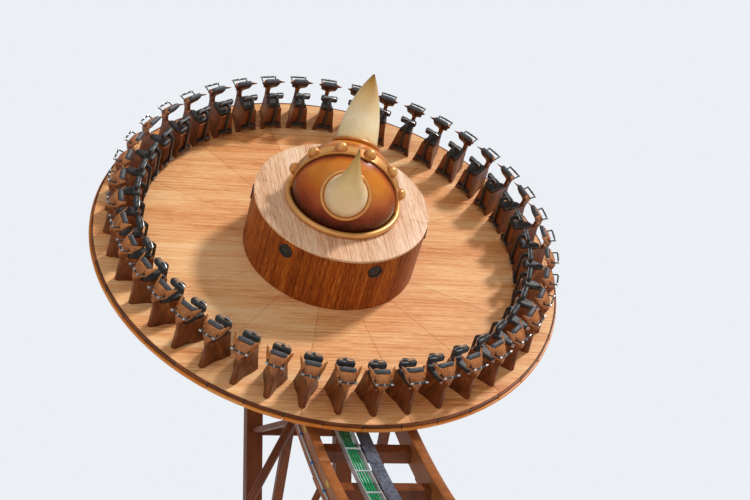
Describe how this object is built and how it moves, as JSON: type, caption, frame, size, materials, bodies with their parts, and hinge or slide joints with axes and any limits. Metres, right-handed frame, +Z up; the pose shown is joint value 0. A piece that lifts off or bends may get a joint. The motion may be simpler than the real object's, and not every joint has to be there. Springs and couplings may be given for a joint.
{
  "type": "spinning disc ride on a curved track",
  "caption": "Tilted round wooden platform with outward-facing straddle seats and a horned helmet on its drum, riding and spinning along a U-shaped steel track on columns and props.",
  "frame": {"origin": "on the ground at the middle of the sill under the lowest point of the track", "axes": "+X along the track away from the tower the carriage stands at, +Y across it, +Z up"},
  "size_m": [24.5542, 7.6598, 9.7782],
  "materials": {
    "far_upper_beams": "satin brown paint",
    "far_lower_beams": "satin brown paint",
    "near_lower_beams": "satin brown paint",
    "near_upper_beams": "satin brown paint",
    "cross_ties": "satin brown paint",
    "drive_rail": "worn steel",
    "cable_tray": "galvanised",
    "tray_rungs": "galvanised",
    "power_cables": "green sheath",
    "conduit": "galvanised",
    "conduit_clips": "blue",
    "marker_plates": "plain yellow",
    "end_stops": "satin brown paint",
    "buffers": "black",
    "tower_columns": "satin brown paint",
    "tower_struts": "satin brown paint",
    "tower_diagonals": "satin brown paint",
    "tower_cross_members": "satin brown paint",
    "base_plates": "satin brown paint",
    "side_props": "satin brown paint",
    "prop_plates": "satin brown paint",
    "low_posts": "satin brown paint",
    "post_plates": "satin brown paint",
    "valley_sill": "satin brown paint",
    "chassis_sides": "dark grey paint",
    "chassis_deck": "dark grey paint",
    "running_wheels": "black",
    "wheel_axles": "steel",
    "guide_wheels": "black",
    "guide_pins": "steel",
    "drive_tyres": "black",
    "drive_axles": "steel",
    "drive_motors": "dark grey paint",
    "bearing_lower": "steel",
    "bearing_upper": "steel",
    "hub": "dark grey paint",
    "deck": "varnished boards",
    "deck_ribs": "dark grey paint",
    "edge_ring": "dark brown",
    "lip_ring": "bright varnished wood",
    "drum_shell": "varnished boards",
    "drum_top": "varnished boards",
    "speaker_grilles": "black",
    "helmet_brim": "gold paint",
    "helmet_dome": "brown airbrushed",
    "helmet_band": "gold paint",
    "helmet_rivets": "gold paint",
    "horn_collars": "gold paint",
    "horns": "ivory",
    "seat_pedestals": "brown moulded",
    "seat_saddles": "dark grey cover",
    "chest_shields": "brown moulded",
    "chest_pads": "dark grey cover",
    "handlebars": "black grip",
    "back_pads": "black cover",
    "back_arms": "dark grey paint"
  },
  "bodies": {
    "track": {"far_upper_beams": "far_upper_beams", "far_lower_beams": "far_lower_beams", "near_lower_beams": "near_lower_beams", "near_upper_beams": "near_upper_beams", "cross_ties": "cross_ties", "drive_rail": "drive_rail", "cable_tray": "cable_tray", "tray_rungs": "tray_rungs", "power_cables": "power_cables", "conduit": "conduit", "conduit_clips": "conduit_clips", "marker_plates": "marker_plates", "end_stops": "end_stops", "buffers": "buffers", "tower_columns": "tower_columns", "tower_struts": "tower_struts", "tower_diagonals": "tower_diagonals", "tower_cross_members": "tower_cross_members", "base_plates": "base_plates", "side_props": "side_props", "prop_plates": "prop_plates", "low_posts": "low_posts", "post_plates": "post_plates", "valley_sill": "valley_sill"},
    "carriage": {"chassis_sides": "chassis_sides", "chassis_deck": "chassis_deck", "running_wheels": "running_wheels", "wheel_axles": "wheel_axles", "guide_wheels": "guide_wheels", "guide_pins": "guide_pins", "drive_tyres": "drive_tyres", "drive_axles": "drive_axles", "drive_motors": "drive_motors", "bearing_lower": "bearing_lower"},
    "platform": {"bearing_upper": "bearing_upper", "hub": "hub", "deck": "deck", "deck_ribs": "deck_ribs", "edge_ring": "edge_ring", "lip_ring": "lip_ring", "drum_shell": "drum_shell", "drum_top": "drum_top", "speaker_grilles": "speaker_grilles", "helmet_brim": "helmet_brim", "helmet_dome": "helmet_dome", "helmet_band": "helmet_band", "helmet_rivets": "helmet_rivets", "horn_collars": "horn_collars", "horns": "horns", "seat_pedestals": "seat_pedestals", "seat_saddles": "seat_saddles", "chest_shields": "chest_shields", "chest_pads": "chest_pads", "handlebars": "handlebars", "back_pads": "back_pads", "back_arms": "back_arms"}
  },
  "joints": [
    {"name": "rock", "type": "hinge", "parent": "track", "child": "carriage", "pos_m": [0, 0, 14.306], "axis": [0, 1, 0], "range_deg": [-106.6, 4]},
    {"name": "spin", "type": "hinge", "parent": "carriage", "child": "platform", "pos_m": [-9.71636, 0, 6.52173], "axis": [0.7804, 0, 0.6252], "continuous": true}
  ]
}
